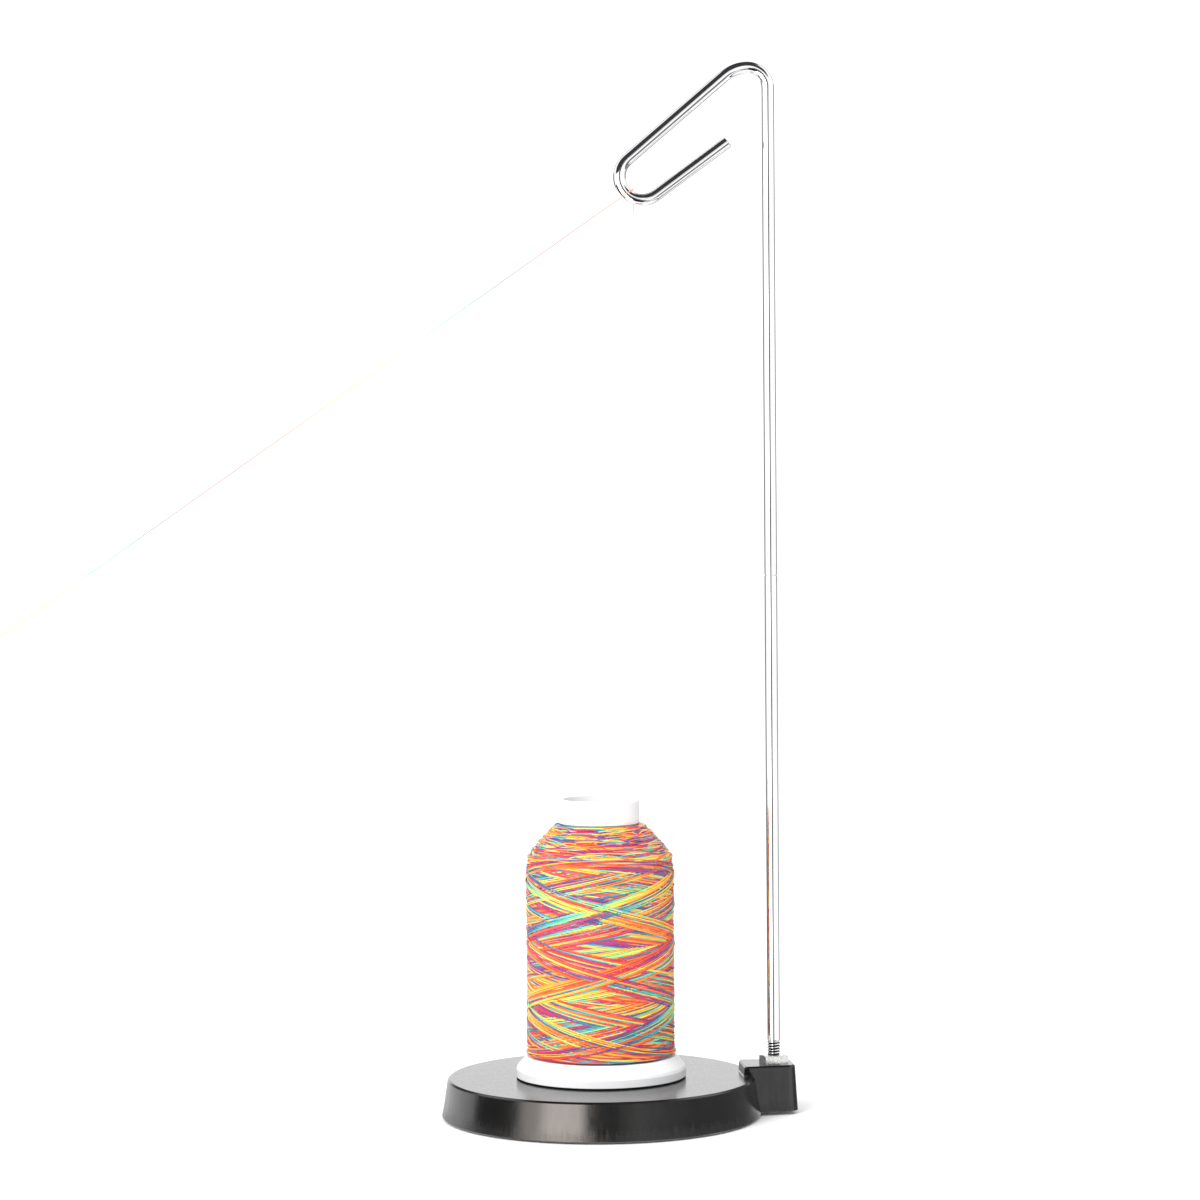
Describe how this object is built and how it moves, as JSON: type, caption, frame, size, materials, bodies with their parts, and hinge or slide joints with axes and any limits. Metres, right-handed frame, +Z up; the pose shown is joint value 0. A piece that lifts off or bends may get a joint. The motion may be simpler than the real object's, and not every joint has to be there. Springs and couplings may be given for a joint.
{
  "type": "thread rack",
  "caption": "Thread stand with a round weighted base, an upright spool pin, a cone of variegated thread and a tall wire mast whose hooked eye leads the thread off.",
  "frame": {"origin": "middle of the base's underside, on the surface that it stands on", "axes": "+Z up along the spool pin, +X from the spool pin to the mast, so the hook lies in the XZ plane"},
  "size_m": [0.3107, 0.1198, 0.3958],
  "materials": {
    "cast_paint": "semi-gloss black enamel on a casting",
    "pad_foam": "matt foam pad",
    "wire_steel": "bright plated wire",
    "chrome_wire": "bright chrome plate",
    "nut_plate": "zinc-plated, satin",
    "felt": "thin pressed felt",
    "core_plastic": "moulded white plastic",
    "thread_winding": "cross-wound variegated sewing thread",
    "thread_free": "single strand of sewing thread"
  },
  "bodies": {
    "base": {"base_casting": "cast_paint", "base_pad": "pad_foam", "spool_pin": "wire_steel", "thread_rise_lower": "thread_free", "thread_rise_upper": "thread_free"},
    "guide": {"guide_rod_lower": "chrome_wire", "guide_rod_upper": "chrome_wire", "thread_run": "thread_free", "thread_knot": "thread_free"},
    "lock_nut": {"lock_nut": "nut_plate"},
    "spool_felt": {"spool_felt": "felt"},
    "spool": {"spool_core": "core_plastic", "thread_package": "thread_winding", "thread_outer_turns": "thread_winding"}
  },
  "joints": [
    {"name": "guide_turn", "type": "hinge", "parent": "base", "child": "guide", "pos_m": [0.0655, 0, 0.02], "axis": [0, 0, 1], "range_deg": [-90, 90], "deforming": ["thread_rise_upper"]},
    {"name": "nut_turn", "type": "hinge", "parent": "guide", "child": "lock_nut", "pos_m": [0.0655, 0, 0.0202], "axis": [0, 0, 1], "continuous": true},
    {"name": "spool_turn", "type": "hinge", "parent": "base", "child": "spool_felt", "pos_m": [0, 0, 0.0152], "axis": [0, 0, 1], "continuous": true},
    {"name": "spool_lift", "type": "slide", "parent": "spool_felt", "child": "spool", "axis": [0, 0, 1], "range_m": [0, 0.1], "deforming": ["thread_rise_lower"]}
  ]
}
